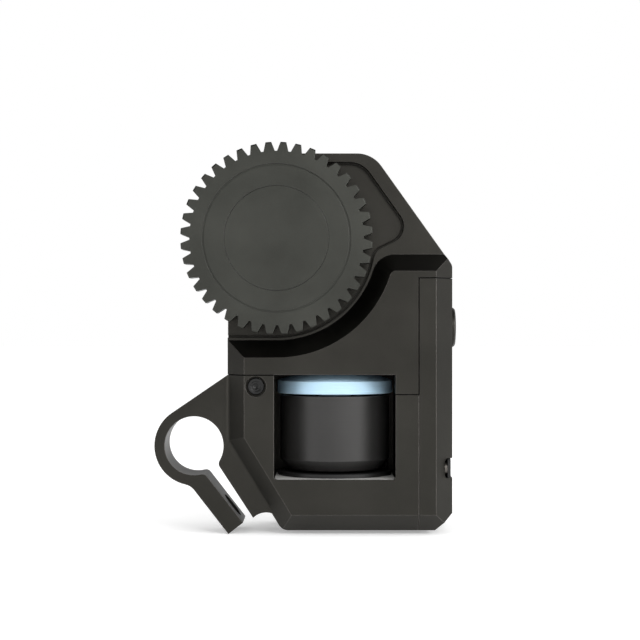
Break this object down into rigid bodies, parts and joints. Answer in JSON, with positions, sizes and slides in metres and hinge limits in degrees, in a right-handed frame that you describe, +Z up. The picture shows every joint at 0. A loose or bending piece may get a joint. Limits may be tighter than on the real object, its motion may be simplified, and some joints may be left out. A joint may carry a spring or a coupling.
{
  "type": "lens focus motor",
  "caption": "Wireless lens focus motor with a rod clamp, an open window over its outrunner motor, and a large external gear on the front.",
  "frame": {"origin": "on the axis of the rod clamp's bore, halfway along its length", "axes": "+X to the right seen from the gear's side, +Y along the rod away from the gear, +Z up along the body's height"},
  "size_m": [0.0772, 0.037, 0.099],
  "materials": {
    "housing_metal": "satin bead-blasted anodised, dark warm grey",
    "gear_metal": "satin anodised, dark grey",
    "blue_anodised": "satin light blue anodised",
    "black_can": "semi-gloss black",
    "black_screw": "black oxide",
    "steel": "ground",
    "bearing_steel": "polished",
    "gear_brass": "satin",
    "plate_metal": "machined",
    "stator_steel": "epoxy coated sheets",
    "copper": "enamelled copper",
    "magnet": "nickel plated",
    "lead_insulation": "matte",
    "board_black": "black solder mask",
    "board_green": "solder mask",
    "chip": "matte",
    "port_steel": "polished",
    "port_plastic": "smooth",
    "button_metal": "satin anodised, dark warm grey"
  },
  "bodies": {
    "housing": {"lower_housing": "housing_metal", "upper_housing": "housing_metal", "back_cover": "housing_metal", "back_cover_screws": "black_screw", "front_screw": "black_screw", "motor_screws": "black_screw", "stator_base": "blue_anodised", "stator_core": "stator_steel", "windings": "copper", "motor_bearings": "bearing_steel", "motor_leads": "lead_insulation", "encoder_board": "board_black", "gearbox_plate": "plate_metal", "gearbox_plate_screws": "black_screw", "output_front_bearing": "bearing_steel", "output_rear_bearing": "bearing_steel", "layshaft_bearings": "bearing_steel", "main_board": "board_green", "main_board_chips": "chip", "button_switch": "chip", "port_board": "board_green", "usb_shell": "port_steel", "usb_tongue": "port_plastic", "driver_board": "board_green", "driver_chips": "chip"},
    "rotor": {"rotor_can": "black_can", "rotor_magnets": "magnet", "motor_shaft": "steel", "shaft_clip": "steel", "bevel_pinion": "steel", "encoder_magnet": "magnet"},
    "bevel_layshaft": {"bevel_shaft": "steel", "bevel_gear": "gear_brass", "first_pinion": "steel"},
    "idler_layshaft": {"idler_shaft": "steel", "idler_gear": "gear_brass", "idler_pinion": "gear_brass"},
    "output": {"output_shaft": "steel", "drive_gear": "gear_brass", "output_gear": "gear_metal", "gear_cap": "gear_metal", "gear_screws": "black_screw"},
    "button": {"side_button": "button_metal"}
  },
  "joints": [
    {"name": "rotor_spin", "type": "hinge", "parent": "housing", "child": "rotor", "pos_m": [0.0359, 0.0041, 0], "axis": [0, 0, 1], "continuous": true},
    {"name": "bevel_spin", "type": "hinge", "parent": "housing", "child": "bevel_layshaft", "pos_m": [0.0359, 0.01, 0.0355], "axis": [0, 1, 0], "continuous": true},
    {"name": "idler_spin", "type": "hinge", "parent": "housing", "child": "idler_layshaft", "pos_m": [0.03391, 0.01, 0.04787], "axis": [0, 1, 0], "continuous": true},
    {"name": "output_spin", "type": "hinge", "parent": "housing", "child": "output", "pos_m": [0.0212, 0, 0.0525], "axis": [0, 1, 0], "continuous": true},
    {"name": "button_press", "type": "slide", "parent": "housing", "child": "button", "axis": [-1, 0, 0], "range_m": [0, 0.0004], "stiffness_N_per_m": 400}
  ],
  "couplings": [
    {"joint": "bevel_spin", "follows": "rotor_spin", "ratio": 0.5},
    {"joint": "idler_spin", "follows": "rotor_spin", "ratio": -0.19444},
    {"joint": "output_spin", "follows": "rotor_spin", "ratio": 0.097222}
  ]
}
